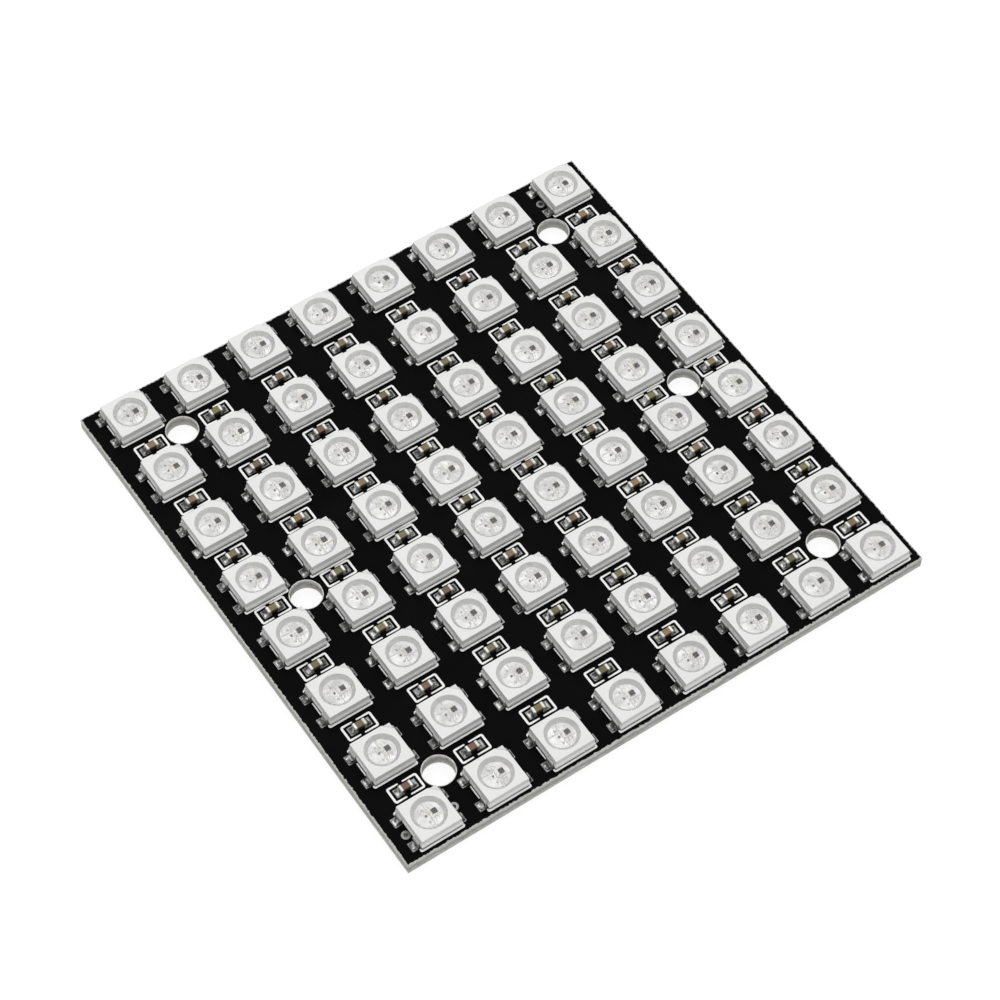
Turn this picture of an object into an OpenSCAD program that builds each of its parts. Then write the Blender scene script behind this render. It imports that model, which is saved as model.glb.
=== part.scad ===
// LED matrix board: a square grid of surface-mounted colour LED packages on a
// printed circuit board. Each package holds its own driver chip, and has a
// decoupling capacitor on its +Y side, apart from those of the last row.
//
// Origin at the middle of the board's underside, +Z out of the lit face.
// Columns are counted along +X and rows along +Y. Millimetres throughout.

/* [Board] */
// Thickness of the bare glass-fibre laminate
laminate_thick = 1.52; // [0.8:0.02:2.4]
// Thickness of the copper lands and of the solder mask flush with them
skin_thick = 0.04; // [0.02:0.01:0.08]
// Board edge to the outermost column of a centred grid
edge_x = 4.15; // [4.15:0.05:10]
// Board edge to the outermost row
edge_y = 3.15; // [3:0.05:10]

/* [Pixel grid] */
// Pixels along each side of the board, an even number
pixels = 8; // [4:2:8]
// Column pitch
column_pitch = 8.1; // [8:0.05:12]
// Gap between a capacitor's bracket and the next row's outline, in the middle
row_clearance = 0.03; // [0.02:0.01:1]
// How much each row pitch outside the middle one widens over the last
row_widen = 0.15; // [0:0.01:0.4]
// How far the grid and the screw holes sit off the board's middle along X
grid_shift = 0.45; // [-0.5:0.05:0.5]

/* [Screw holes] */
// Drilled diameter, for M3 screws
screw_hole_d = 3.5; // [3.2:0.1:3.6]
// Outward shift of the holes from the middle of their four pixels
screw_hole_shift = 0.15; // [0:0.05:0.3]
// Ring of bare laminate that the solder mask leaves around a hole
mask_pullback = 0.1; // [0:0.05:0.15]

/* [LED package] */
// Side of the housing at its widest line
package_side = 5; // [4.9:0.05:5.2]
// Height of the top face above the lands
package_top = 1.55; // [1.4:0.05:2]
// Height of the mould's parting line above the lands
parting_height = 0.9; // [0.8:0.05:1.1]
// Height of the widest line above the lands
flare_height = 0.6; // [0.4:0.05:0.7]
// Inward slope per side from the widest line up to the parting line
lower_draft = 0.09; // [0:0.01:0.12]
// Inward slope per side from the parting line up to the top face
upper_draft = 0.03; // [0:0.01:0.1]
// Inward slope per side from the widest line down to the underside
under_draft = 0.08; // [0:0.01:0.15]
// Diameter of the reflector cup at the top face
cup_top_d = 3.8; // [3.5:0.1:4.2]
// Diameter of the reflector cup at its floor
cup_floor_d = 3; // [2.6:0.1:3.4]
// Dip of the resin's surface at the middle of the cup
resin_dip = 0.06; // [0.02:0.01:0.12]
// Length of the corner mark along each side of the top face
mark_side = 1; // [0.7:0.05:1.2]
// How much shorter the corner mark is at its floor, because its wall slants
mark_slant = 0.38; // [0.2:0.01:0.5]
// Depth of the corner mark below the top face
mark_depth = 0.31; // [0.15:0.01:0.4]

/* [Lead frame] */
// Width of a lead
lead_w = 1; // [0.8:0.05:1.1]
// Thickness of the strip that the leads are bent from
lead_thick = 0.15; // [0.1:0.01:0.2]
// Distance between the two leads of a side, centre to centre
lead_pitch = 3.22; // [3:0.02:3.4]
// How far a lead stands out past the widest line of the housing
lead_reach = 0.25; // [0.2:0.05:0.4]
// Outer radius of a lead's bends
lead_bend_r = 0.25; // [0.2:0.05:0.3]
// Length of the foot folded back under the housing
foot_length = 0.9; // [0.6:0.1:1.2]
// Gap between the plates that the leads end in, inside the cup
plate_gap = 0.2; // [0.1:0.05:0.3]
// Length of a plate along X, from the gap outwards
plate_length = 1.5; // [1.2:0.1:1.6]
// Y of the gap between the two plates of the -X side
split_left = 0.45; // [0.25:0.05:0.5]
// Y of the gap between the two plates of the +X side
split_right = -0.5; // [-0.6:0.05:-0.4]

/* [Chips] */
// Side of the driver chip
driver_side = 0.56; // [0.4:0.02:0.6]
// Thickness of the driver chip
driver_thick = 0.15; // [0.1:0.01:0.2]
// X of the driver chip from the middle of the package
driver_x = 0.69; // [0.45:0.01:0.9]
// Y of the driver chip from the middle of the package
driver_y = 0.1; // [-0.1:0.01:0.3]
// Length along Y of a light-emitting die
die_length = 0.24; // [0.16:0.02:0.3]
// Width along X of a light-emitting die
die_width = 0.2; // [0.12:0.02:0.26]
// Thickness of a light-emitting die
die_thick = 0.1; // [0.08:0.01:0.16]
// X of the column of dies from the middle of the package
die_x = -0.36; // [-0.6:0.01:-0.3]
// Y of the middle die, which is the red one
die_y = 0.01; // [-0.1:0.01:0.05]
// Distance between neighbouring dies
die_pitch = 0.8; // [0.7:0.05:0.9]

/* [Capacitor] */
// Length over both terminals
cap_length = 1.5; // [1.4:0.05:1.6]
// Width along Y
cap_width = 0.8; // [0.7:0.05:0.9]
// Height above the lands
cap_height = 0.65; // [0.45:0.05:0.9]
// Length of a terminal along X
terminal_length = 0.38; // [0.25:0.01:0.45]
// Thickness of a terminal's plated metal
terminal_wall = 0.03; // [0.02:0.01:0.05]

/* [Lands and solder] */
// Length along X of an LED land
led_land_length = 1.55; // [1.3:0.05:1.8]
// Width along Y of an LED land
led_land_w = 1.1; // [1.1:0.02:1.3]
// How far an LED land reaches out past its lead
led_land_toe = 0.47; // [0.4:0.01:0.6]
// How far the lands of a package sit off its middle, along X
led_land_shift = -0.12; // [-0.15:0.01:0.15]
// Length along X of a capacitor land
cap_land_length = 0.95; // [0.8:0.05:1.05]
// Width along Y of a capacitor land
cap_land_w = 1; // [0.9:0.05:1.1]
// How far a capacitor land reaches out past the terminal
cap_land_toe = 0.55; // [0.4:0.05:0.65]
// Bare end of a land that the fillets leave free
fillet_margin = 0.03; // [0:0.01:0.1]

/* [Plated holes and wire lands] */
// Distance of a plated hole from the middle of the package beside it, along X
via_x = 2.88; // [2.88:0.02:3.2]
// Distance of a plated hole from the row's line, towards -Y
via_y = 0.14; // [0:0.02:0.3]
// Diameter of the ring around a plated hole
via_ring_d = 1; // [0.8:0.05:1.1]
// Diameter of the open hole inside the plating
via_hole_d = 0.5; // [0.3:0.05:0.6]
// Thickness of the plating on the hole's wall
via_wall = 0.04; // [0.03:0.01:0.08]
// Width along X of a wire land on the underside
wire_land_w = 1.8; // [1.4:0.1:2]
// Length along Y of a wire land on the underside
wire_land_length = 3; // [2:0.1:4]
// Distance between wire lands
wire_land_pitch = 2.54; // [2.54:0.01:4]

/* [Printed legend] */
// Thickness of the ink
ink_thick = 0.02; // [0.01:0.01:0.03]
// Gap from the widest line of a package to its printed outline, which may begin
// under the edge of the package
outline_gap = -0.07; // [-0.1:0.01:0.05]
// Line width of a package's outline
outline_line = 0.24; // [0.12:0.01:0.28]
// Length of the outline's line between the two lands of a side
side_line_length = 1.7; // [1.2:0.1:1.8]
// Width along X of a capacitor's bracket pair
bracket_w = 3.65; // [3.4:0.05:4]
// Depth along Y of a capacitor's bracket pair
bracket_d = 2; // [1.9:0.05:2.4]
// Line width of a bracket
bracket_line = 0.25; // [0.15:0.01:0.3]
// Gap between a package's outline and the bracket on its +Y side
bracket_gap = 0.63; // [0.3:0.01:1]
// Opening between the two halves of a bracket pair
bracket_opening = 0.5; // [0.3:0.05:0.8]
// Shift of that opening along X
bracket_opening_shift = -0.15; // [-0.3:0.05:0.3]

/* [Hidden] */
// Smallest cut past a face, so that no zero-thickness skin is left
eps = 0.01;
// Cones that make up the hollow in the resin
dip_steps = 3;
$fn = 48;

// Printed outline, brackets and rows stack up along Y in the middle of the board.
outline_half = package_side / 2 + outline_gap + outline_line;
row_pitch = 2 * outline_half + bracket_gap + bracket_d + row_clearance;
cap_y = outline_half + bracket_gap + bracket_d / 2;

half_rows = pixels / 2;
function column_x(i) = grid_shift + column_pitch * (i - (pixels - 1) / 2);
function row_reach(k) = row_pitch * (k + 0.5) + row_widen * k * (k + 3) / 2;
function row_y(j) = j < half_rows ? -row_reach(half_rows - 1 - j) : row_reach(j - half_rows);

board_w = column_pitch * (pixels - 1) + 2 * edge_x;
board_d = 2 * (row_reach(half_rows - 1) + edge_y);

// Heights above the underside
laminate_z = skin_thick;
land_z = laminate_z + laminate_thick;
top_z = land_z + skin_thick;

// Two columns of three screw holes, each between four pixels
hole_x = column_pitch * (pixels / 2 - 1) + screw_hole_shift;
hole_y = (row_reach(half_rows - 1) + row_reach(half_rows - 2)) / 2 + screw_hole_shift;
screw_holes = [for (x = [-hole_x, hole_x], y = [-hole_y, 0, hole_y]) [grid_shift + x, y]];

// Plated holes beside the first package, on both sides, and before the last
last = pixels - 1;
vias = [
    [column_x(0) - via_x, row_y(0) - via_y],
    [column_x(0) + via_x, row_y(0) - via_y],
    [column_x(last) - via_x, row_y(last) - via_y],
];

// Three wire lands under the first row and three under the last
wire_lands = [
    for (n = [0:2]) [column_x(1) + n * wire_land_pitch, row_y(0)],
    for (n = [0:2]) [column_x(last - 1) - n * wire_land_pitch, row_y(last)],
];

// Package details that follow from the driving sizes
side = [-1, 1];
package_half = package_side / 2;
parting_half = package_half - lower_draft;
top_half = parting_half - upper_draft;
under_half = package_half - under_draft;
lead_end = package_half + lead_reach;
plate_z = parting_height - lead_thick;
plate_end = plate_gap / 2 + plate_length;
lead_edge = (lead_pitch + lead_w) / 2;
led_land_end = lead_end + led_land_toe;
cap_half = cap_length / 2;
cap_land_end = cap_half + cap_land_toe;

row_numbers = [1:pixels];
cap_row_numbers = [1:pixels - 1];

// ---- placing ---------------------------------------------------------------

// Repeats its child at each package of row j, on the lands' surface.
module along_row(j) {
    for (i = [0:last])
        translate([column_x(i), row_y(j), top_z]) children();
}

// Repeats its child at every package.
module at_packages() {
    for (j = [0:last]) along_row(j) children();
}

// Repeats its child at each capacitor beside row j.
module along_cap_row(j) {
    translate([0, cap_y, 0]) along_row(j) children();
}

// Repeats its child at every capacitor.
module at_capacitors() {
    for (j = [0:last - 1]) along_cap_row(j) children();
}

// Repeats its child at the four leads of a package, drawn for the +X side;
// $land_toe is how far the land there reaches out past the lead.
module at_leads() {
    for (sx = side, sy = side) {
        $land_toe = led_land_toe + sx * led_land_shift;
        scale_x(sx) translate([0, sy * lead_pitch / 2, 0]) children();
    }
}

// Repeats its child at the two ends of a capacitor, drawn for the +X end.
module at_ends() {
    for (sx = side) scale_x(sx) children();
}

// Leaves the child as it is for 1, and mirrors it across X for -1.
module scale_x(s) {
    if (s < 0) mirror([1, 0, 0]) children();
    else children();
}

// ---- circuit board ---------------------------------------------------------

module board_outline() {
    translate([-board_w / 2, -board_d / 2]) square([board_w, board_d]);
}

module hole_circles(d) {
    for (p = screw_holes) translate(p) circle(d = d);
}

module via_circles(d) {
    for (p = vias) translate(p) circle(d = d);
}

module board_laminate() {
    color("#c9c4ae")
    translate([0, 0, laminate_z])
    linear_extrude(laminate_thick)
    difference() {
        board_outline();
        hole_circles(screw_hole_d);
        via_circles(via_hole_d + 2 * via_wall);
    }
}

module solder_mask_top() {
    color("#101112")
    translate([0, 0, land_z])
    linear_extrude(skin_thick)
    difference() {
        board_outline();
        hole_circles(screw_hole_d + 2 * mask_pullback);
        via_circles(via_ring_d);
        for (j = [0:last], i = [0:last])
            translate([column_x(i), row_y(j)]) led_land_shapes();
        for (j = [0:last - 1], i = [0:last])
            translate([column_x(i), row_y(j) + cap_y]) cap_land_shapes();
    }
}

module solder_mask_bottom() {
    color("#101112")
    linear_extrude(skin_thick)
    difference() {
        board_outline();
        hole_circles(screw_hole_d + 2 * mask_pullback);
        via_circles(via_ring_d);
        wire_land_shapes();
    }
}

// ---- copper ----------------------------------------------------------------

module led_land_shapes() {
    for (sx = side, sy = side)
        translate([
            sx * (led_land_end - led_land_length / 2) + led_land_shift,
            sy * lead_pitch / 2,
        ])
        square([led_land_length, led_land_w], center = true);
}

module cap_land_shapes() {
    for (sx = side)
        translate([sx * (cap_land_end - cap_land_length / 2), 0])
        square([cap_land_length, cap_land_w], center = true);
}

module wire_land_shapes() {
    for (p = wire_lands)
        translate(p) square([wire_land_w, wire_land_length], center = true);
}

module led_lands() {
    color("#d8d8d4")
    translate([0, 0, -skin_thick])
    at_packages() linear_extrude(skin_thick) led_land_shapes();
}

module capacitor_lands() {
    color("#d8d8d4")
    translate([0, 0, -skin_thick])
    at_capacitors() linear_extrude(skin_thick) cap_land_shapes();
}

module wire_lands() {
    color("#d8d8d4")
    linear_extrude(skin_thick) wire_land_shapes();
}

// A rivet-shaped tube: the plated wall with a ring on each face.
module plated_holes() {
    wall_r = via_hole_d / 2 + via_wall;
    color("#d8d8d4")
    for (p = vias)
        translate(p)
        rotate_extrude()
        polygon([
            [via_hole_d / 2, 0],
            [via_ring_d / 2, 0],
            [via_ring_d / 2, laminate_z],
            [wall_r, laminate_z],
            [wall_r, land_z],
            [via_ring_d / 2, land_z],
            [via_ring_d / 2, top_z],
            [via_hole_d / 2, top_z],
        ]);
}

// ---- printed legend --------------------------------------------------------

// True beside a package whose side line gives way to a plated hole.
function has_via(i, j, sx) =
    (i == 0 && j == 0) || (i == last && j == last && sx < 0);

module led_outline_print() {
    line_y = outline_half - outline_line / 2;
    color("#f2f2ee")
    for (j = [0:last], i = [0:last])
        translate([column_x(i), row_y(j), top_z])
        linear_extrude(ink_thick) {
            for (sy = side)
                translate([0, sy * line_y])
                square([2 * outline_half, outline_line], center = true);
            for (sx = side)
                if (!has_via(i, j, sx))
                    translate([sx * line_y, 0])
                    square([outline_line, side_line_length], center = true);
        }
}

module bracket_ring() {
    difference() {
        square([bracket_w, bracket_d], center = true);
        square([bracket_w - 2 * bracket_line, bracket_d - 2 * bracket_line], center = true);
    }
}

module capacitor_bracket_print() {
    color("#f2f2ee")
    at_capacitors()
    linear_extrude(ink_thick)
    difference() {
        bracket_ring();
        translate([bracket_opening_shift, 0])
        square([bracket_opening, bracket_d + 2 * eps], center = true);
    }
}

// ---- LED package -----------------------------------------------------------

// Upright section of the housing, the same along X and along Y.
module housing_section() {
    polygon([
        [-under_half, lead_thick], [under_half, lead_thick],
        [package_half, flare_height], [parting_half, parting_height],
        [top_half, package_top], [-top_half, package_top],
        [-parting_half, parting_height], [-package_half, flare_height],
    ]);
}

module upright_prism() {
    rotate([90, 0, 0])
    linear_extrude(2 * package_side, center = true) housing_section();
}

// The conical cup, from the lead frame's plates up to the top face.
module cup_space(over = 0) {
    depth = package_top - parting_height;
    slope = (cup_top_d - cup_floor_d) / 2 / depth;
    translate([0, 0, parting_height])
    cylinder(h = depth + over, r1 = cup_floor_d / 2, r2 = cup_top_d / 2 + slope * over);
}

// Square corner less its quarter circle, at a corner with its point at the origin.
module corner_mark() {
    // How far out the slanted wall stands along the diagonal, for a given side
    function reach(leg) = (2 * top_half - leg) / sqrt(2);
    floor_z = package_top - mark_depth;
    rotate([0, 0, 45])
    rotate([90, 0, 0])
    linear_extrude(2 * mark_side + 2, center = true)
    polygon([
        [reach(mark_side), package_top], [reach(mark_side - mark_slant), floor_z],
        [package_side, floor_z], [package_side, package_top + eps],
        [reach(mark_side), package_top + eps],
    ]);
}

module corner_waste(r) {
    difference() {
        translate([-r, -r]) square(r + eps);
        translate([-r, -r]) circle(r = r);
    }
}

// Rectangle from the origin, its two corners at the far end rounded.
module round_ended(length, height, r) {
    difference() {
        square([length, height]);
        translate([length, height]) corner_waste(r);
        translate([length, 0]) mirror([0, 1]) corner_waste(r);
    }
}

// Side view of a lead: out of the housing, down its side and back under it.
module lead_section() {
    from_plate = lead_end - plate_end;
    translate([plate_end, 0])
    difference() {
        round_ended(from_plate, parting_height, lead_bend_r);
        translate([-eps, lead_thick])
        square([from_plate - lead_thick + eps, plate_z - lead_thick]);
        translate([-eps, -eps])
        square([from_plate - foot_length + eps, plate_z + eps]);
    }
}

// One lead of the +X side with its plate, which runs from y0 to y1.
module lead(sy, y0, y1) {
    translate([0, sy * lead_pitch / 2, 0])
    rotate([90, 0, 0])
    linear_extrude(lead_w, center = true) lead_section();
    translate([plate_gap / 2, y0, plate_z]) cube([plate_length, y1 - y0, lead_thick]);
}

// The two leads of one side, their plates parted at y = split.
module lead_pair(split) {
    lead(1, split + plate_gap / 2, lead_edge);
    lead(-1, -lead_edge, split - plate_gap / 2);
}

module lead_frame() {
    lead_pair(split_right);
    mirror([1, 0, 0]) lead_pair(split_left);
}

module housing() {
    difference() {
        intersection() {
            upright_prism();
            rotate([0, 0, 90]) upright_prism();
        }
        cup_space(over = eps);
        corner_mark();
        lead_frame();
    }
}

module driver_chip() {
    translate([driver_x, driver_y, parting_height + driver_thick / 2])
    cube([driver_side, driver_side, driver_thick], center = true);
}

// Place of a die in its column: -1, 0 or 1.
module die(step) {
    translate([die_x, die_y + step * die_pitch, parting_height + die_thick / 2])
    cube([die_width, die_length, die_thick], center = true);
}

// Resin that fills the cup around the chips, with a shallow hollow on top.
module resin() {
    difference() {
        rotate_extrude()
        polygon([
            [0, parting_height],
            [cup_floor_d / 2, parting_height],
            [cup_top_d / 2, package_top],
            for (n = [dip_steps - 1:-1:0])
                let (t = n / dip_steps)
                [t * cup_top_d / 2, package_top - resin_dip * (1 - t * t)],
        ]);
        driver_chip();
        for (step = [-1:1]) die(step);
    }
}

module led_housings(j) {
    color("#f4f4f1") along_row(j) housing();
}

module led_leads(j) {
    color("#cfd0cf") along_row(j) lead_frame();
}

module led_resin(j) {
    color("#dcdcd6", 0.6) along_row(j) resin();
}

module driver_chips() {
    color("#4a4a4a") at_packages() driver_chip();
}

module red_dies() {
    color("#8d8783") at_packages() die(0);
}

module green_dies() {
    color("#c8d0c8") at_packages() die(-1);
}

module blue_dies() {
    color("#c8ccd4") at_packages() die(1);
}

// ---- capacitor -------------------------------------------------------------

module ceramic_block() {
    translate([0, 0, cap_height / 2])
    cube([cap_length - 2 * terminal_wall, cap_width - 2 * terminal_wall,
          cap_height - 2 * terminal_wall], center = true);
}

// Plated cap over each end of the ceramic block, open towards the middle.
module terminals() {
    difference() {
        for (sx = side)
            translate([sx * (cap_half - terminal_length / 2), 0, cap_height / 2])
            cube([terminal_length, cap_width, cap_height], center = true);
        ceramic_block();
    }
}

module capacitor_bodies(j) {
    color("#8b7a52") along_cap_row(j) ceramic_block();
}

module capacitor_terminals(j) {
    color("#e6e4dc") along_cap_row(j) terminals();
}

// ---- solder ----------------------------------------------------------------

// Section of a fillet: a square corner hollowed by a circle of its own size, so
// that it runs out on the land as far as it climbs the wall.
module fillet_section(size) {
    difference() {
        square(size);
        translate([size, size]) circle(r = size);
    }
}

// The fillet of a lead also fills the wedge under the lead's lower bend.
module led_fillet_section() {
    size = $land_toe - fillet_margin;
    difference() {
        translate([-lead_bend_r, 0]) square([lead_bend_r + size, size]);
        translate([size, size]) circle(r = size);
        translate([-2 * lead_bend_r, 0])
        round_ended(2 * lead_bend_r, parting_height, lead_bend_r);
    }
}

module fillet(x, width) {
    translate([x, 0, 0])
    rotate([90, 0, 0])
    linear_extrude(width, center = true) children();
}

module led_solder() {
    color("#d2d3d2")
    at_packages() at_leads()
    fillet(lead_end, lead_w) led_fillet_section();
}

module capacitor_solder() {
    color("#d2d3d2")
    at_capacitors() at_ends()
    fillet(cap_half, cap_width) fillet_section(cap_land_toe - fillet_margin);
}

// ---- nodes -----------------------------------------------------------------

board_laminate();
solder_mask_top();
solder_mask_bottom();
led_lands();
capacitor_lands();
wire_lands();
plated_holes();
led_outline_print();
capacitor_bracket_print();
for (r = row_numbers) {
    led_housings(r - 1);
    led_leads(r - 1);
    led_resin(r - 1);
}
driver_chips();
red_dies();
green_dies();
blue_dies();
for (r = cap_row_numbers) {
    capacitor_bodies(r - 1);
    capacitor_terminals(r - 1);
}
led_solder();
capacitor_solder();
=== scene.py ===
import bpy
import numpy as np
from mathutils import Matrix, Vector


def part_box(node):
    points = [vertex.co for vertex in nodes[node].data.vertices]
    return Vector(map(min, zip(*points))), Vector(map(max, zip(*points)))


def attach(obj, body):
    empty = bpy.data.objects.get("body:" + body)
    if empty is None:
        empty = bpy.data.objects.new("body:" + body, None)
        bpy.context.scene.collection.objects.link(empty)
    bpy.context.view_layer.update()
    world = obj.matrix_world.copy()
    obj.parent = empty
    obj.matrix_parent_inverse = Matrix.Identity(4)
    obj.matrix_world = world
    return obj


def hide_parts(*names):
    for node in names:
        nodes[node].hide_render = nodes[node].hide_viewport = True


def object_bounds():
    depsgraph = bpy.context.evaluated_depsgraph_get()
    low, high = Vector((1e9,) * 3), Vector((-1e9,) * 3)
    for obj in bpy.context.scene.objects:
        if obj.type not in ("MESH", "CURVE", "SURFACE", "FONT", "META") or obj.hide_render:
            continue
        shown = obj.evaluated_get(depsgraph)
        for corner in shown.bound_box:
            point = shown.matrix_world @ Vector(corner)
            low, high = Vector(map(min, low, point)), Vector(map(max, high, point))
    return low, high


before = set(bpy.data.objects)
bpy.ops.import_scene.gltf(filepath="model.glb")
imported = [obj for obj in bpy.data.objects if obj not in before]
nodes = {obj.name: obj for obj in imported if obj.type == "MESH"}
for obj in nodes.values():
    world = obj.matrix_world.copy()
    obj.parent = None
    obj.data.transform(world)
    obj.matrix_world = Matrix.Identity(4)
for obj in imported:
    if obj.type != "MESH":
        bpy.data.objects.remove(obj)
cad_box = [list(corner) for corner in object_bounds()]
mm = 0.001


# Board laminate: the woven glass and epoxy core of the board, 1.5 mm thick.
# It shows only where it was routed or snapped: round the edge and in the hole
# walls, as pale cloth layers with greyer resin between, rough from the cutter.
def start_finish(name, colour, roughness, fixed=None):
    """A material with one Principled shader, its steady values set on the sockets."""
    material = bpy.data.materials.new(name)
    material.use_nodes = True
    tree = material.node_tree
    shader = tree.nodes["Principled BSDF"]
    shader.inputs["Base Color"].default_value = (*colour, 1.0)
    shader.inputs["Roughness"].default_value = roughness
    for socket, value in (fixed or {}).items():
        shader.inputs[socket].default_value = value
    return material, tree, shader


def put(tree, kind, values=None, **settings):
    """Adds one shader node with the given socket values and settings."""
    node = tree.nodes.new(kind)
    for key, value in settings.items():
        setattr(node, key, value)
    for socket, value in (values or {}).items():
        node.inputs[socket].default_value = value
    return node


def object_place(tree, stretch=(1.0, 1.0, 1.0)):
    """Object coordinates in metres, stretched by a factor along each axis."""
    place = put(tree, "ShaderNodeTexCoord")
    scaled = put(tree, "ShaderNodeMapping", {"Scale": stretch})
    tree.links.new(place.outputs["Object"], scaled.inputs["Vector"])
    return scaled.outputs["Vector"]


def noise_at(tree, place, per_metre, detail=3.0, rough=0.5):
    """A cloud pattern with about per_metre / 2 lumps to the metre."""
    cloud = put(
        tree,
        "ShaderNodeTexNoise",
        {"Scale": per_metre, "Detail": detail, "Roughness": rough},
    )
    tree.links.new(place, cloud.inputs["Vector"])
    return cloud.outputs["Fac"]


def spread(tree, value, low, high, to_low, to_high):
    """Maps low..high onto to_low..to_high in a straight line, held at both ends."""
    line = put(
        tree,
        "ShaderNodeMapRange",
        {
            "From Min": low,
            "From Max": high,
            "To Min": to_low,
            "To Max": to_high,
        },
    )
    tree.links.new(value, line.inputs["Value"])
    return line.outputs["Result"]


def reckon(tree, operation, a, b):
    """One sum of two values, either of which may be a plain number."""
    node = put(tree, "ShaderNodeMath", operation=operation)
    for socket, value in zip(node.inputs, (a, b)):
        if isinstance(value, (int, float)):
            socket.default_value = value
        else:
            tree.links.new(value, socket)
    return node.outputs["Value"]


def colour_steps(tree, value, stops):
    """A run of colours along a value, as (position, colour) stops."""
    ramp = put(tree, "ShaderNodeValToRGB")
    band = ramp.color_ramp
    while len(band.elements) < len(stops):
        band.elements.new(0.5)
    for element, (position, colour) in zip(band.elements, stops):
        element.position = position
        element.color = (*colour, 1.0)
    tree.links.new(value, ramp.inputs["Fac"])
    return ramp.outputs["Color"]


def raise_by(tree, shader, height, depth, strength=1.0):
    """Feeds a height pattern, depth metres deep, to the shader's normal."""
    bump = put(tree, "ShaderNodeBump", {"Strength": strength, "Distance": depth})
    tree.links.new(height, bump.inputs["Height"])
    tree.links.new(bump.outputs["Normal"], shader.inputs["Normal"])


def dress(prefix, material):
    """Gives every CAD node whose name begins with prefix this material."""
    for name, node in nodes.items():
        if name.startswith(prefix):
            for slot in node.material_slots:
                slot.material = material


laminate, tree, shader = start_finish("cut laminate", (0.5, 0.49, 0.45), 0.9)
place = object_place(tree)
streak_place = object_place(tree, (1.0, 1.0, 9.0))
height_up = put(tree, "ShaderNodeSeparateXYZ")
tree.links.new(place, height_up.inputs["Vector"])
wander = noise_at(tree, place, 700.0, 4.0)
layer = reckon(
    tree,
    "ADD",
    spread(tree, height_up.outputs["Z"], 0.0, 1.6 * mm, 0.0, 1.0),
    spread(tree, wander, 0.3, 0.7, -0.13, 0.13),
)
cloth = colour_steps(
    tree,
    layer,
    [
        (0.0, (0.74, 0.73, 0.70)),
        (0.24, (0.68, 0.67, 0.64)),
        (0.42, (0.5, 0.495, 0.48)),
        (0.66, (0.48, 0.475, 0.46)),
        (0.8, (0.78, 0.775, 0.76)),
        (1.0, (0.84, 0.835, 0.82)),
    ],
)
strands = noise_at(tree, streak_place, 1900.0, 6.0, 0.7)
strand_tone = colour_steps(
    tree,
    strands,
    [(0.36, (0.55, 0.55, 0.54)), (0.5, (0.9, 0.9, 0.89)), (0.62, (1.1, 1.1, 1.08))],
)
tinted = put(tree, "ShaderNodeMix", data_type="RGBA", blend_type="MULTIPLY")
tinted.inputs["Factor"].default_value = 1.0
tree.links.new(cloth, tinted.inputs["A"])
tree.links.new(strand_tone, tinted.inputs["B"])
tree.links.new(tinted.outputs["Result"], shader.inputs["Base Color"])
tree.links.new(
    spread(tree, strands, 0.3, 0.7, 0.95, 0.7), shader.inputs["Roughness"]
)
raise_by(tree, shader, strands, 0.12 * mm)
dress("board_laminate", laminate)


# Solder mask: the black lacquer on both faces, matt and 40 microns thick.
# It is sprayed and baked, so it has a fine orange peel, and it chipped a little
# along the outer edge where the board was cut from its panel.
def fine_grain_group():
    """Two clouds, one five times finer, summed: a tone near 1 and a height."""
    group = bpy.data.node_groups.new("fine grain", "ShaderNodeTree")
    face = group.interface
    for name, value in (("Per Metre", 5000.0), ("Contrast", 0.1)):
        socket = face.new_socket(
            name, in_out="INPUT", socket_type="NodeSocketFloat"
        )
        socket.default_value = value
    for name in ("Tone", "Height"):
        face.new_socket(name, in_out="OUTPUT", socket_type="NodeSocketFloat")
    enter = group.nodes.new("NodeGroupInput")
    leave = group.nodes.new("NodeGroupOutput")
    place = object_place(group)
    coarse = put(group, "ShaderNodeTexNoise", {"Detail": 2.0})
    fine = put(group, "ShaderNodeTexNoise", {"Detail": 2.0})
    group.links.new(place, coarse.inputs["Vector"])
    group.links.new(place, fine.inputs["Vector"])
    group.links.new(enter.outputs["Per Metre"], coarse.inputs["Scale"])
    group.links.new(
        reckon(group, "MULTIPLY", enter.outputs["Per Metre"], 5.0),
        fine.inputs["Scale"],
    )
    both = reckon(
        group,
        "ADD",
        reckon(group, "MULTIPLY", coarse.outputs["Fac"], 0.6),
        reckon(group, "MULTIPLY", fine.outputs["Fac"], 0.4),
    )
    swing = reckon(group, "SUBTRACT", both, 0.5)
    tone = reckon(
        group,
        "ADD",
        reckon(group, "MULTIPLY", swing, enter.outputs["Contrast"]),
        1.0,
    )
    group.links.new(tone, leave.inputs["Tone"])
    group.links.new(both, leave.inputs["Height"])
    return group


fine_grain = fine_grain_group()


def grained(tree, per_metre, contrast):
    """The fine grain group set in a material, with its two outputs."""
    node = put(tree, "ShaderNodeGroup", node_tree=fine_grain)
    node.inputs["Per Metre"].default_value = per_metre
    node.inputs["Contrast"].default_value = contrast
    return node.outputs["Tone"], node.outputs["Height"]


def times_tone(tree, shader, colour, tone):
    """Base colour as one colour multiplied by a tone near 1."""
    scaled = put(tree, "ShaderNodeVectorMath", operation="SCALE")
    if isinstance(colour, tuple):
        scaled.inputs[0].default_value = colour
    else:
        tree.links.new(colour, scaled.inputs[0])
    tree.links.new(tone, scaled.inputs["Scale"])
    tree.links.new(scaled.outputs["Vector"], shader.inputs["Base Color"])


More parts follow.
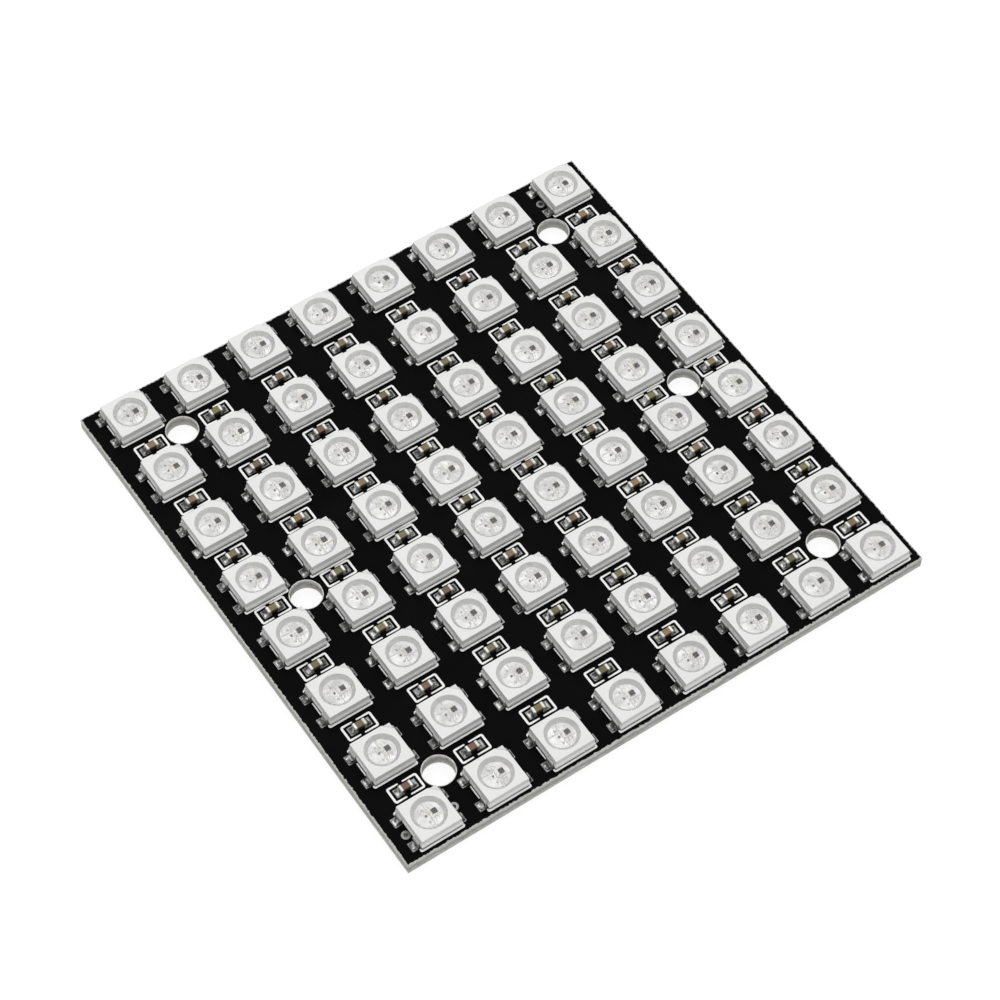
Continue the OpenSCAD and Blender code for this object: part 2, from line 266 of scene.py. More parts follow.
mask_black = (0.0019, 0.0019, 0.0021)
black_mask, tree, shader = start_finish(
    "black solder mask", mask_black, 0.5, {"Specular IOR Level": 0.028}
)
tone, height = grained(tree, 9000.0, 0.5)
lacquer = put(tree, "ShaderNodeVectorMath", operation="SCALE")
lacquer.inputs[0].default_value = mask_black
tree.links.new(tone, lacquer.inputs["Scale"])
place = object_place(tree)
flat_place = put(tree, "ShaderNodeSeparateXYZ")
tree.links.new(place, flat_place.inputs["Vector"])
outward = reckon(
    tree,
    "MAXIMUM",
    reckon(tree, "ABSOLUTE", flat_place.outputs["X"], 0.0),
    reckon(tree, "ABSOLUTE", flat_place.outputs["Y"], 0.0),
)
nibble = spread(tree, noise_at(tree, place, 2600.0, 4.0, 0.65), 0.35, 0.65, 0.0, 1.0)
chipped = reckon(
    tree,
    "GREATER_THAN",
    reckon(tree, "ADD", outward, reckon(tree, "MULTIPLY", nibble, 0.16 * mm)),
    cad_box[1][0] - 0.02 * mm,
)
edge_colour = put(tree, "ShaderNodeMix", data_type="RGBA")
tree.links.new(chipped, edge_colour.inputs["Factor"])
tree.links.new(lacquer.outputs["Vector"], edge_colour.inputs["A"])
edge_colour.inputs["B"].default_value = (0.5, 0.5, 0.48, 1.0)
tree.links.new(edge_colour.outputs["Result"], shader.inputs["Base Color"])
smear = noise_at(tree, place, 160.0, 4.0)
tree.links.new(spread(tree, smear, 0.3, 0.7, 0.42, 0.58), shader.inputs["Roughness"])
raise_by(tree, shader, height, 0.006 * mm)
dress("solder_mask", black_mask)


# Lands and plated holes: copper pads left bare of mask and hot-air tinned.
# The tin lies a little domed and rippled, bright with duller patches.
def tin_finish(name, colour, low, high, ripple_per_metre, ripple_depth):
    """Bright metal whose roughness drifts between low and high over a ripple."""
    material, tree, shader = start_finish(name, colour, low, {"Metallic": 1.0})
    tone, height = grained(tree, ripple_per_metre, 0.35)
    times_tone(tree, shader, colour, tone)
    drift = noise_at(tree, object_place(tree), 900.0, 3.0)
    tree.links.new(
        spread(tree, drift, 0.35, 0.65, low, high), shader.inputs["Roughness"]
    )
    raise_by(tree, shader, height, ripple_depth)
    return material


tinned = tin_finish("tinned copper", (0.24, 0.24, 0.236), 0.28, 0.48, 3500.0, 0.03 * mm)
for group_name in ("led_lands", "capacitor_lands", "wire_lands", "plated_holes"):
    dress(group_name, tinned)


# Printed legend: white ink screened on the mask, a line in front of and behind each
# package with its ends turned up, a short one on each side, and a bracket pair
# round each capacitor. The ink is 20 microns thick, chalky and soft at its edges.
legend_ink, tree, shader = start_finish("legend ink", (0.9, 0.9, 0.89), 0.75)
tone, height = grained(tree, 14000.0, 0.3)
times_tone(tree, shader, (0.9, 0.9, 0.89), tone)
raise_by(tree, shader, height, 0.012 * mm)


def grid_faces(rings, around, closed=True):
    """Quads of a grid of rings by points, joined round when it is closed."""
    ring = np.arange(rings - 1)[:, None]
    step = np.arange(around if closed else around - 1)[None, :]
    after = (step + 1) % around
    quads = np.stack(
        [
            ring * around + step,
            ring * around + after,
            (ring + 1) * around + after,
            (ring + 1) * around + step,
        ],
        axis=-1,
    )
    return quads.reshape(-1, 4)


def make_piece(name, points, faces, material, smooth=True):
    """A mesh object at the origin from one array of points and one of faces."""
    mesh = bpy.data.meshes.new(name)
    mesh.from_pydata(points.reshape(-1, 3).tolist(), [], [list(f) for f in faces])
    mesh.validate()
    mesh.polygons.foreach_set("use_smooth", np.full(len(mesh.polygons), smooth))
    mesh.materials.append(material)
    mesh.update()
    piece = bpy.data.objects.new(name, mesh)
    bpy.context.collection.objects.link(piece)
    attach(piece, "root")
    return piece


def repeat_shape(points, faces, places):
    """The same shape set at every place: its points shifted, its faces renumbered."""
    many = points[None, :, :] + places[:, None, :]
    shifts = np.arange(len(places)) * len(points)
    return many, [tuple(np.array(f) + s) for s in shifts for f in faces]


def ink_stroke(path, width):
    """A printed line along a path of X, Y points. Its section is a low trapezium,
    set square to the path: half the width out at the foot, a little less at the
    top. At both ends it narrows, as a screened line does."""
    along = np.gradient(path, axis=0)
    along = along / np.linalg.norm(along, axis=1)[:, None]
    across = np.stack([along[:, 1], -along[:, 0]], axis=1)
    full = np.full(len(path), width / 2)
    full[[0, -1]] *= 0.7
    soft = 0.02 * mm
    rows = []
    for reach, up in ((1.0, 0.0), (1.0, 1.0), (-1.0, 1.0), (-1.0, 0.0)):
        out = reach * (full - soft * up)
        flat = path + across * out[:, None]
        rows.append(np.column_stack([flat, np.full(len(path), up * ink_thick)]))
    points = np.stack(rows, axis=1)
    faces = [tuple(q) for q in grid_faces(len(path), 4)]
    last = 4 * (len(path) - 1)
    faces += [(3, 2, 1, 0), (last, last + 1, last + 2, last + 3)]
    return points.reshape(-1, 3), faces


def turned_path(corners, radius, steps=4):
    """A path through corners, each but the first and last rounded to a radius by
    sliding along the curve (1-t)^2 a + 2t(1-t) b + t^2 c between its tangents."""
    corners = np.array(corners, dtype=float)
    pieces = [corners[:1]]
    t = np.linspace(0, 1, steps)[:, None]
    for before, at, after in zip(corners[:-2], corners[1:-1], corners[2:]):
        a = at + (before - at) / np.linalg.norm(before - at) * radius
        c = at + (after - at) / np.linalg.norm(after - at) * radius
        pieces.append((1 - t) ** 2 * a + 2 * t * (1 - t) * at + t**2 * c)
    pieces.append(corners[-1:])
    return np.concatenate(pieces)


def join_shapes(shapes):
    """Several (points, faces) shapes as one."""
    points, faces, first = [], [], 0
    for own_points, own_faces in shapes:
        points.append(own_points.reshape(-1, 3))
        faces += [tuple(np.array(f) + first) for f in own_faces]
        first += len(points[-1])
    return np.concatenate(points), faces


rows = [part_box("led_housings_row_%d" % number) for number in range(1, 9)]
half_package = (rows[0][1].y - rows[0][0].y) / 2
row_y = np.array([(low.y + high.y) / 2 for low, high in rows])
column_x = np.linspace(rows[0][0].x + half_package, rows[0][1].x - half_package, 8)
package_places = np.array([(x, y, 0.0) for y in row_y for x in column_x])
ink_low, ink_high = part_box("led_outline_print")
ink_thick = ink_high.z - ink_low.z
print_z = ink_low.z
outline_out = ink_high.x - column_x[-1]
line_wide = 0.24 * mm
line_at = outline_out - line_wide / 2
side_half = 0.85 * mm
front_line = turned_path(
    [
        (-line_at, -line_at + 0.3 * mm),
        (-line_at, -line_at),
        (line_at, -line_at),
        (line_at, -line_at + 0.3 * mm),
    ],
    0.12 * mm,
)
front = ink_stroke(front_line, line_wide)
behind = ink_stroke(-front_line, line_wide)
left = ink_stroke(np.array([(-line_at, side_half), (-line_at, -side_half)]), line_wide)
right = ink_stroke(np.array([(line_at, -side_half), (line_at, side_half)]), line_wide)
plated = [(0, 0, -1), (0, 0, 1), (7, 7, -1)]
outlines = []
for row in range(8):
    for column in range(8):
        shapes = [front, behind]
        if (row, column, -1) not in plated:
            shapes.append(left)
        if (row, column, 1) not in plated:
            shapes.append(right)
        points, faces = join_shapes(shapes)
        outlines.append((points + (column_x[column], row_y[row], print_z), faces))
points, faces = join_shapes(outlines)
outline_piece = make_piece("package_outlines", points, faces, legend_ink, False)
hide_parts("led_outline_print")

frame_low, frame_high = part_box("capacitor_bracket_print")
bracket_half = (frame_high.x - column_x[-1], 1.0 * mm)
first_bracket = frame_low.y + bracket_half[1] - row_y[0]
bracket_line = 0.25 * mm
bx, by = bracket_half[0] - bracket_line / 2, bracket_half[1] - bracket_line / 2
opening = (-0.4 * mm, 0.1 * mm)
left_half = turned_path(
    [(opening[0], by), (-bx, by), (-bx, -by), (opening[0], -by)], 0.16 * mm
)
right_half = turned_path(
    [(opening[1], -by), (bx, -by), (bx, by), (opening[1], by)], 0.16 * mm
)
pair = join_shapes([ink_stroke(left_half, bracket_line), ink_stroke(right_half, bracket_line)])
bracket_places = np.array(
    [(x, y + first_bracket, print_z) for y in row_y[:-1] for x in column_x]
)
many, faces = repeat_shape(*pair, bracket_places)
bracket_piece = make_piece("capacitor_brackets", many, faces, legend_ink, False)
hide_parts("capacitor_bracket_print")


# LED housings: white reflector plastic moulded round the lead frame, with
# drafted sides, a parting line, one cut corner and a cone-shaped cup, whose plastic
# is painted lighter, as painted light against the shade in the cup. The sides are painted
# lighter below the parting line and darker above it, as painted light and shade, and
# the tone differs a little from package to package.
def piece_tone_group():
    """A random value for each cell of a grid laid over X and Y, the same all over
    one cell: the cell's number is the place less the start, over the pitch."""
    group = bpy.data.node_groups.new("piece tone", "ShaderNodeTree")
    face = group.interface
    for name in ("Pitch X", "Pitch Y", "Start X", "Start Y"):
        face.new_socket(name, in_out="INPUT", socket_type="NodeSocketFloat")
    face.new_socket("Value", in_out="OUTPUT", socket_type="NodeSocketFloat")
    face.new_socket("Colour", in_out="OUTPUT", socket_type="NodeSocketColor")
    enter = group.nodes.new("NodeGroupInput")
    leave = group.nodes.new("NodeGroupOutput")
    apart = put(group, "ShaderNodeSeparateXYZ")
    group.links.new(object_place(group), apart.inputs["Vector"])
    joined = put(group, "ShaderNodeCombineXYZ")
    for axis in "XY":
        cell = reckon(
            group,
            "FLOOR",
            reckon(
                group,
                "DIVIDE",
                reckon(
                    group,
                    "SUBTRACT",
                    apart.outputs[axis],
                    enter.outputs["Start " + axis],
                ),
                enter.outputs["Pitch " + axis],
            ),
            0.0,
        )
        group.links.new(cell, joined.inputs[axis])
    dice = put(group, "ShaderNodeTexWhiteNoise", noise_dimensions="3D")
    group.links.new(joined.outputs["Vector"], dice.inputs["Vector"])
    group.links.new(dice.outputs["Value"], leave.inputs["Value"])
    group.links.new(dice.outputs["Color"], leave.inputs["Colour"])
    return group


piece_tone = piece_tone_group()
package_top = rows[0][1].z
package_pitch = column_x[1] - column_x[0]
row_cell = (row_y[-1] - row_y[0]) / 7


def toned_by_piece(tree, start_x, start_y):
    """The random value of the cell that each package or capacitor stands in."""
    node = put(tree, "ShaderNodeGroup", node_tree=piece_tone)
    node.inputs["Pitch X"].default_value = package_pitch
    node.inputs["Pitch Y"].default_value = row_cell
    node.inputs["Start X"].default_value = start_x
    node.inputs["Start Y"].default_value = start_y
    return node.outputs["Value"], node.outputs["Colour"]


def package_place_group():
    """Where a point lies in its own package: how far out along X, and how far from
    the package's middle. X repeats with the column pitch, and the rows lie alike on
    both sides of the board's middle, so the nearest of four row lines is enough."""
    group = bpy.data.node_groups.new("package place", "ShaderNodeTree")
    for name in ("Side", "Radius"):
        group.interface.new_socket(name, in_out="OUTPUT", socket_type="NodeSocketFloat")
    leave = group.nodes.new("NodeGroupOutput")
    apart = put(group, "ShaderNodeSeparateXYZ")
    group.links.new(object_place(group), apart.inputs["Vector"])
    from_edge = reckon(
        group, "SUBTRACT", apart.outputs["X"], float(column_x[0] - package_pitch / 2)
    )
    in_cell = reckon(group, "MODULO", from_edge, float(package_pitch))
    from_middle = reckon(group, "SUBTRACT", in_cell, float(package_pitch / 2))
    side = reckon(group, "ABSOLUTE", from_middle, 0.0)
    from_centre_line = reckon(group, "ABSOLUTE", apart.outputs["Y"], 0.0)
    nearest = 1.0
    for line in row_y[row_y > 0]:
        offset = reckon(group, "SUBTRACT", from_centre_line, float(line))
        nearest = reckon(
            group, "MINIMUM", nearest, reckon(group, "ABSOLUTE", offset, 0.0)
        )
    squares = reckon(
        group,
        "ADD",
        reckon(group, "MULTIPLY", side, side),
        reckon(group, "MULTIPLY", nearest, nearest),
    )
    group.links.new(side, leave.inputs["Side"])
    group.links.new(reckon(group, "SQRT", squares, 0.0), leave.inputs["Radius"])
    return group


package_place = package_place_group()


def mixed(tree, factor, a, b):
    """One colour turning into another as the factor goes from 0 to 1."""
    mix = put(tree, "ShaderNodeMix", data_type="RGBA")
    mix.inputs["A"].default_value = (*a, 1.0)
    mix.inputs["B"].default_value = (*b, 1.0)
    tree.links.new(factor, mix.inputs["Factor"])
    return mix.outputs["Result"]


package_start = (column_x[0] - package_pitch / 2, row_y[0] - row_cell / 2)
reflector, tree, shader = start_finish(
    "reflector plastic", (0.77, 0.77, 0.765), 0.42, {"Specular IOR Level": 0.4}
)
in_package = put(tree, "ShaderNodeGroup", node_tree=package_place)
# Inside the cup the plastic is painted lighter, 0.96 against 0.77: painted light that offsets
# the shade in the cup.
painted_cup_light = spread(tree, in_package.outputs["Radius"], 1.88 * mm, 1.905 * mm, 1.0, 0.0)
plastic = mixed(tree, painted_cup_light, (0.77, 0.77, 0.765), (0.96, 0.96, 0.955))
up = put(tree, "ShaderNodeSeparateXYZ")
tree.links.new(object_place(tree), up.inputs["Vector"])
parting_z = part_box("red_dies")[0].z
# Up the sides the colour is scaled 1.12 just above the parting line, about 0.9 higher up and
# 1.0 at the top: painted light and shade in bands.
painted_wall_bands = colour_steps(
    tree,
    spread(tree, up.outputs["Z"], parting_z - 0.1 * mm, package_top, 0.0, 1.0),
    [
        (0.05, (1.12, 1.12, 1.12)),
        (0.2, (0.9, 0.9, 0.9)),
        (0.85, (0.88, 0.88, 0.88)),
        (0.98, (1.0, 1.0, 1.0)),
    ],
)
# The cup's painted light, with the painted wall bands multiplied over everything outside the
# cup.
painted_light_plastic = put(tree, "ShaderNodeMix", data_type="RGBA", blend_type="MULTIPLY")
tree.links.new(reckon(tree, "SUBTRACT", 1.0, painted_cup_light), painted_light_plastic.inputs["Factor"])
tree.links.new(plastic, painted_light_plastic.inputs["A"])
tree.links.new(painted_wall_bands, painted_light_plastic.inputs["B"])
tone, height = grained(tree, 2600.0, 0.06)
own, _ = toned_by_piece(tree, *package_start)
times_tone(
    tree,
    shader,
    painted_light_plastic.outputs["Result"],
    reckon(tree, "MULTIPLY", tone, spread(tree, own, 0.0, 1.0, 0.975, 1.01)),
)
sheen = noise_at(tree, object_place(tree), 1500.0, 3.0)
tree.links.new(spread(tree, sheen, 0.3, 0.7, 0.36, 0.5), shader.inputs["Roughness"])
raise_by(tree, shader, height, 0.008 * mm)
dress("led_housings", reflector)


# Lead frames: four strips to a package, stamped from silver-plated copper. Inside
# they lie flat as the plates that carry the chips; outside they bend down and in,
# and there the handling and the oven have dulled them.
silver_strip, tree, shader = start_finish(
    "silver plated strip", (0.6, 0.6, 0.595), 0.34, {"Metallic": 1.0}
)
tone, height = grained(tree, 4200.0, 0.3)
in_package = put(tree, "ShaderNodeGroup", node_tree=package_place)
outside = spread(tree, in_package.outputs["Side"], 1.7 * mm, 2.3 * mm, 0.0, 1.0)
strip_colour = mixed(tree, outside, (0.6, 0.6, 0.595), (0.4, 0.4, 0.395))
times_tone(tree, shader, strip_colour, tone)
drift = noise_at(tree, object_place(tree), 900.0, 3.0)
tree.links.new(spread(tree, drift, 0.35, 0.65, 0.3, 0.46), shader.inputs["Roughness"])
raise_by(tree, shader, height, 0.012 * mm)
dress("led_leads", silver_strip)


# Driver chip and dies: a square of dark silicon that switches the three colours,
# and a red, a green and a blue die in a line, all glued to the plates.
silicon, tree, shader = start_finish(
    "driver silicon", (0.015, 0.0145, 0.0155), 0.3, {"Specular IOR Level": 0.5}
)
place = object_place(tree)
blocks = put(
    tree,
    "ShaderNodeTexVoronoi",
    {"Scale": 9000.0, "Randomness": 0.9},
    distance="CHEBYCHEV",
)
tree.links.new(place, blocks.inputs["Vector"])
block_tone = put(tree, "ShaderNodeSeparateColor")
tree.links.new(blocks.outputs["Color"], block_tone.inputs["Color"])
circuit = colour_steps(
    tree,
    block_tone.outputs["Red"],
    [
        (0.0, (0.006, 0.006, 0.008)),
        (0.45, (0.014, 0.0135, 0.014)),
        (0.75, (0.03, 0.029, 0.027)),
        (1.0, (0.08, 0.076, 0.068)),
    ],
)
tree.links.new(circuit, shader.inputs["Base Color"])
raise_by(tree, shader, block_tone.outputs["Green"], 0.004 * mm)
dress("driver_chips", silicon)


def die_finish(name, body, pad, metallic):
    """A die: its body colour with a paler bonding pad in speckles over it."""
    material, tree, shader = start_finish(name, body, 0.3, {"Metallic": metallic})
    specks = noise_at(tree, object_place(tree), 16000.0, 1.0)
    tree.links.new(
        colour_steps(tree, specks, [(0.5, body), (0.6, pad)]),
        shader.inputs["Base Color"],
    )
    tone, height = grained(tree, 20000.0, 0.2)
    raise_by(tree, shader, height, 0.004 * mm)
    return material


dress("red_dies", die_finish("red die", (0.16, 0.12, 0.11), (0.42, 0.34, 0.28), 0.0))
dress("green_dies", die_finish("green die", (0.76, 0.79, 0.76), (0.82, 0.8, 0.72), 0.0))
dress("blue_dies", die_finish("blue die", (0.75, 0.78, 0.8), (0.82, 0.8, 0.72), 0.0))


# Bond wires: 25 micron gold wires welded from the driver chip to the dies and to
# the four plates, each a low arch inside the resin.
chip_low, chip_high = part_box("driver_chips")
red_low, red_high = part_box("red_dies")
chip_side = chip_high.x - (column_x[-1] - column_x[0]) - chip_low.x
chip_x = chip_low.x + chip_side / 2 - column_x[0]
chip_y = chip_low.y + chip_side / 2 - row_y[0]
die_x = (red_low.x + red_high.x) / 2 - (column_x[0] + column_x[-1]) / 2
die_y = (red_low.y + red_high.y) / 2 - (row_y[0] + row_y[-1]) / 2
die_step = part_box("blue_dies")[0].y - red_low.y
plate_top = red_low.z
wire_ends = [
    ((-0.2, 0.0, 1), (die_x, die_y, 0)),
    ((-0.2, -0.12, 1), (die_x + 0.04 * mm, die_y - die_step, 0)),
    ((-0.2, 0.12, 1), (die_x + 0.04 * mm, die_y + die_step, 0)),
    ((-0.12, -0.2, 1), (0.25 * mm, -1.1 * mm, 2)),
    ((0.1, -0.2, 1), (0.75 * mm, -0.95 * mm, 2)),
    ((-0.12, 0.2, 1), (0.2 * mm, 1.1 * mm, 2)),
    ((0.1, 0.2, 1), (0.7 * mm, 0.95 * mm, 2)),
]
arch = np.linspace(0.0, 1.0, 7)
turn = np.arange(4) * np.pi / 2
wire_radius = 0.0125 * mm
wire_points, wire_faces = [], []
for (from_x, from_y, _), (to_x, to_y, landing) in wire_ends:
    start = np.array([chip_x + from_x * mm, chip_y + from_y * mm, chip_high.z])
    end = np.array([to_x, to_y, red_high.z if landing == 0 else plate_top])
    run = end - start
    spine = start + arch[:, None] * run
    spine[:, 2] += 4 * arch * (1 - arch) * 0.12 * mm
    side = np.array([-run[1], run[0], 0.0]) / np.hypot(run[0], run[1])
    ring = np.cos(turn)[:, None] * side + np.sin(turn)[:, None] * np.array([0, 0, 1])
    tube = spine[:, None, :] + ring[None, :, :] * wire_radius
    first = sum(len(p) for p in wire_points)
    wire_points.append(tube.reshape(-1, 3))
    wire_faces += [tuple(q + first) for q in grid_faces(7, 4)]
    wire_faces.append(tuple(np.array([3, 2, 1, 0]) + first))
    wire_faces.append(tuple(np.array([0, 1, 2, 3]) + first + 24))
gold_wire = tin_finish("gold wire", (0.82, 0.66, 0.36), 0.2, 0.3, 8000.0, 0.002 * mm)
many, faces = repeat_shape(np.concatenate(wire_points), wire_faces, package_places)
make_piece("bond_wires", many, faces, gold_wire)


# Resin: clear silicone poured over the chips to the brim of the cup. It shrank a
# little as it cured, so its top is a shallow dish that holds the light.
resin_low, resin_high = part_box("led_resin_row_1")
cup_radius = (resin_high.y - resin_low.y) / 2
cup_floor_radius = 1.5 * mm
around = np.arange(48) * 2 * np.pi / 48
bite = 0.012 * mm
dish = np.array([0.02, 0.25, 0.5, 0.7, 0.84, 0.93, 0.98, 1.0])
dish_depth = 0.07 * mm
radii = np.concatenate(
    [dish * (cup_radius + bite), [cup_floor_radius + bite, 0.02 * mm]]
)
heights = np.concatenate(
    [
        package_top - dish_depth * (1 - dish**4) - 0.004 * mm,
        [plate_top - bite, plate_top - bite],
    ]
)
lens = np.stack(
    [
        radii[:, None] * np.cos(around),
        radii[:, None] * np.sin(around),
        np.repeat(heights[:, None], 48, axis=1),
    ],
    axis=-1,
)
lens_faces = [tuple(q[::-1]) for q in grid_faces(len(radii), 48)]
lens_faces.append(tuple(range(48)))
lens_faces.append(tuple((len(radii) - 1) * 48 + i for i in range(47, -1, -1)))
clear_resin, tree, shader = start_finish(
    "clear resin",
    (0.97, 0.97, 0.965),
    0.08,
    {"Transmission Weight": 1.0, "IOR": 1.41},
)
tone, height = grained(tree, 900.0, 0.03)
times_tone(tree, shader, (0.97, 0.97, 0.965), tone)
raise_by(tree, shader, height, 0.01 * mm)
many, faces = repeat_shape(lens.reshape(-1, 3), lens_faces, package_places)
resin_piece = make_piece("cast_resin", many, faces, clear_resin)
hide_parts(*["led_resin_row_%d" % number for number in range(1, 9)])


# Capacitors: a fired ceramic block, tan, olive or brown from batch to batch, with
# a tin cap baked and plated on each end. Tumbling has rounded every edge, and the
# lower part of the block is painted darker, as painted shade.
def tumbled_block(low, high, edge):
    """A block between two corners with its edges cut back by that much: three points
    at each corner, one on each of the faces that meet there."""
    middle, half = (low + high) / 2, (high - low) / 2
    signs = [np.array((x, y, z)) for x in (-1, 1) for y in (-1, 1) for z in (-1, 1)]
    points, place_of = [], {}
    for sign in signs:
        for axis in range(3):
            reach = half - edge
            reach[axis] = half[axis]
            place_of[(*sign, axis)] = len(points)
            points.append(middle + sign * reach)
    points = np.array(points)
    loops = []
    for axis in range(3):
        one, two = [a for a in range(3) if a != axis]
        for end in (-1, 1):
            face = [c for c in signs if c[axis] == end]
            loops.append([place_of[(*c, axis)] for c in face])
            edge_corners = [c for c in signs if c[one] == end]
            for turn_side in (-1, 1):
                pair = [c for c in edge_corners if c[two] == turn_side]
                loops.append([place_of[(*c, a)] for c in pair for a in (one, two)])
    loops += [[place_of[(*c, axis)] for axis in range(3)] for c in signs]
    faces = []
    for loop in loops:
        centre = points[loop].mean(axis=0)
        outward = centre - middle
        outward = outward / half**2
        across = points[loop[0]] - centre
        beside = np.cross(outward, across)
        bearing = [
            np.arctan2((points[n] - centre) @ beside, (points[n] - centre) @ across)
            for n in loop
        ]
        ring = [n for _, n in sorted(zip(bearing, loop))]
        normal = np.cross(points[ring[1]] - points[ring[0]], points[ring[2]] - points[ring[1]])
        faces.append(tuple(ring if normal @ (centre - middle) > 0 else ring[::-1]))
    return points, faces


block_low, block_high = (np.array(corner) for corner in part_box("capacitor_bodies_row_1"))
cap_low, cap_high = (np.array(corner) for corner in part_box("capacitor_terminals_row_1"))
cap_x, cap_y = (cap_low[0] + cap_high[0]) / 2, (cap_low[1] + cap_high[1]) / 2
cap_half = (cap_high[0] - cap_low[0] - 7 * package_pitch) / 2
terminal_length = 0.38 * mm
cap_places = np.array([(x, y + cap_y - row_y[0], 0.0) for y in row_y[:-1] for x in column_x])
cap_rows = range(1, 8)
reach_y = (cap_high[1] - cap_low[1]) / 2
block_y = (block_high[1] - block_low[1]) / 2
inner = cap_half - terminal_length
cap_start = (cap_x - 4 * package_pitch, cap_y - row_cell / 2)
ceramic, tree, shader = start_finish("fired ceramic", (0.2, 0.14, 0.08), 0.5)
own, _ = toned_by_piece(tree, *cap_start)
batch = colour_steps(
    tree,
    own,
    [
        (0.0, (0.24, 0.15, 0.07)),
        (0.22, (0.17, 0.15, 0.06)),
        (0.45, (0.12, 0.11, 0.05)),
        (0.62, (0.15, 0.075, 0.05)),
        (0.8, (0.22, 0.17, 0.09)),
        (1.0, (0.15, 0.13, 0.065)),
    ],
)
tone, height = grained(tree, 7000.0, 1.6)
up = put(tree, "ShaderNodeSeparateXYZ")
tree.links.new(object_place(tree), up.inputs["Vector"])
# Below this height the ceramic's colour falls towards 0.22 of itself: painted shade on the
# lower part of the block.
painted_shade_line = block_low[2] + 0.75 * (block_high[2] - block_low[2])
painted_low_shade = spread(tree, up.outputs["Z"], painted_shade_line, block_high[2], 0.22, 1.0)
times_tone(tree, shader, batch, reckon(tree, "MULTIPLY", tone, painted_low_shade))
raise_by(tree, shader, height, 0.01 * mm)
block = tumbled_block(
    np.array([-inner - 0.05 * mm, -block_y, block_low[2]]),
    np.array([inner + 0.05 * mm, block_y, block_high[2]]),
    0.05 * mm,
)
many, faces = repeat_shape(*block, cap_places)
block_piece = make_piece("ceramic_blocks", many, faces, ceramic, False)
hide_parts(*["capacitor_bodies_row_%d" % number for number in cap_rows])

end_cap = tin_finish("tin end cap", (0.66, 0.65, 0.61), 0.35, 0.55, 6000.0, 0.03 * mm)
left_cap = tumbled_block(
    np.array([-cap_half, -reach_y, cap_low[2]]),
    np.array([-inner, reach_y, cap_high[2]]),
    0.08 * mm,
)
right_cap = tumbled_block(
    np.array([inner, -reach_y, cap_low[2]]),
    np.array([cap_half, reach_y, cap_high[2]]),
    0.08 * mm,
)
many, faces = repeat_shape(*join_shapes([left_cap, right_cap]), cap_places)
cap_piece = make_piece("end_caps", many, faces, end_cap, False)
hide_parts(*["capacitor_terminals_row_%d" % number for number in cap_rows])


# Solder: reflowed paste, wetted up each lead and end cap in a steep hollow slope and
# out over its land in a low round toe. No two joints took quite the same shape.
def wetted_joint(dice, toe, width, climb):
    """One joint for the +X side, from the metal it climbs, at the origin. Across, u
    runs from -1 to 1, and outwards v from 0 to 1. Its height is climb times
    (1 - v / 0.7) to the power 1.4, plus a low toe that ends at v = 1, all rounded off
    at both sides by 1 - u^6. The outline narrows towards the toe."""
    toe = toe * dice.uniform(0.88, 1.0)
    width = width * dice.uniform(0.86, 1.0)
    climb = climb * dice.uniform(0.85, 1.05)
    lean = dice.uniform(-0.1, 0.5)
    steps_out = (0.0, 0.15, 0.32, 0.5, 0.68, 0.86, 1.0)
    v, u = np.meshgrid(steps_out, np.linspace(-1, 1, 7), indexing="ij")
    slope = climb * np.clip(1 - v / 0.7, 0, None) ** 1.4
    bulge = 0.07 * mm * (1 - v**4) * (1 - lean * u)
    x = toe * v * (1 - 0.16 * u**2 * v) - 0.02 * mm * (1 - v)
    y = width / 2 * u * (1 - 0.12 * v**2)
    z = (slope + bulge) * (1 - u**6)
    points = np.stack([x, y, z], axis=-1).reshape(-1, 3)
    faces = [tuple(q) for q in grid_faces(7, 7, closed=False)]
    faces.append(tuple(range(7)))
    rim = [6] + [7 * n for n in range(1, 7)] + list(range(43, 49))
    rim += [7 * n + 6 for n in range(5, 0, -1)]
    faces.append(tuple(rim))
    return points, faces


def on_side(shape, sign, x, y):
    """A joint shape set at a face: mirrored for the -X side, then moved."""
    points, faces = shape
    turned = points * (sign, 1, 1) + (x, y, land_top)
    return turned, [f[::-1] for f in faces] if sign < 0 else faces


dice = np.random.default_rng(31)
land_low, land_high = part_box("led_lands")
lead_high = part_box("led_leads_row_1")[1]
land_top = land_high.z
lead_face = lead_high.x - column_x[-1]
lead_half = 0.5 * mm
lead_line = lead_high.y - row_y[0] - lead_half
bare_end = 0.03 * mm
toes = {-1: column_x[0] - land_low.x - lead_face, 1: land_high.x - column_x[-1] - lead_face}
climbs = {-1: 0.5 * mm, 1: 0.32 * mm}
lead_joint_wide = 1.06 * mm
joints = []
for x, y, _ in package_places:
    for sign in (-1, 1):
        for line in (-lead_line, lead_line):
            shape = wetted_joint(dice, toes[sign] - bare_end, lead_joint_wide, climbs[sign])
            joints.append(on_side(shape, sign, x + sign * lead_face, y + line))
solder_joint, tree, shader = start_finish(
    "reflowed solder", (0.34, 0.34, 0.335), 0.26, {"Metallic": 1.0}
)
tone, height = grained(tree, 2600.0, 0.4)
place = object_place(tree)
# A noise cloud scatters near-white patches over the dark solder colour: painted highlights
# that stand in for reflections. The same cloud also varies the roughness.
glint_cloud = noise_at(tree, place, 1500.0, 2.0)
painted_glints = spread(tree, glint_cloud, 0.47, 0.57, 0.0, 1.0)
solder_with_painted_glints = mixed(tree, painted_glints, (0.2, 0.2, 0.197), (0.92, 0.92, 0.91))
times_tone(tree, shader, solder_with_painted_glints, tone)
tree.links.new(spread(tree, glint_cloud, 0.4, 0.64, 0.2, 0.5), shader.inputs["Roughness"])
raise_by(tree, shader, height, 0.04 * mm)
points, faces = join_shapes(joints)
led_joints = make_piece("lead_joints", points, faces, solder_joint)
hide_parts("led_solder")

